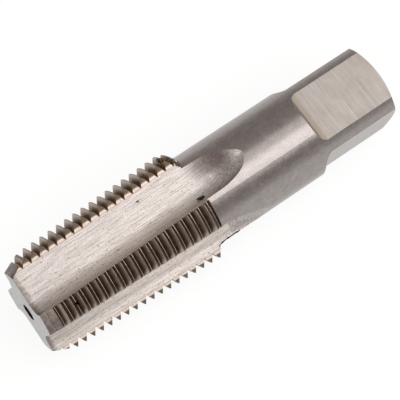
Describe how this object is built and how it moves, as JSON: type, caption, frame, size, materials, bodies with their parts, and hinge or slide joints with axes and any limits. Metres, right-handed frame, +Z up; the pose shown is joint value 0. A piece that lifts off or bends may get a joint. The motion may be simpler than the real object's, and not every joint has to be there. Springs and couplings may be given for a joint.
{
  "type": "thread tap",
  "caption": "Taper pipe thread tap: straight-fluted cutting thread, plain shank and a driving square at the back end.",
  "frame": {"origin": "centre of the box that the lying tap fills, on the bench", "axes": "+X along the tap from its tip to its square, +Z up from the bench; the tap lies on two lands and its shank, and its own axis dips by 1.36 degrees towards +X"},
  "size_m": [0.0783, 0.019, 0.019],
  "materials": {
    "steel": "ground tool steel, satin, with brown-stained thread flanks"
  },
  "bodies": {
    "root": {"tap": "steel"}
  },
  "joints": []
}
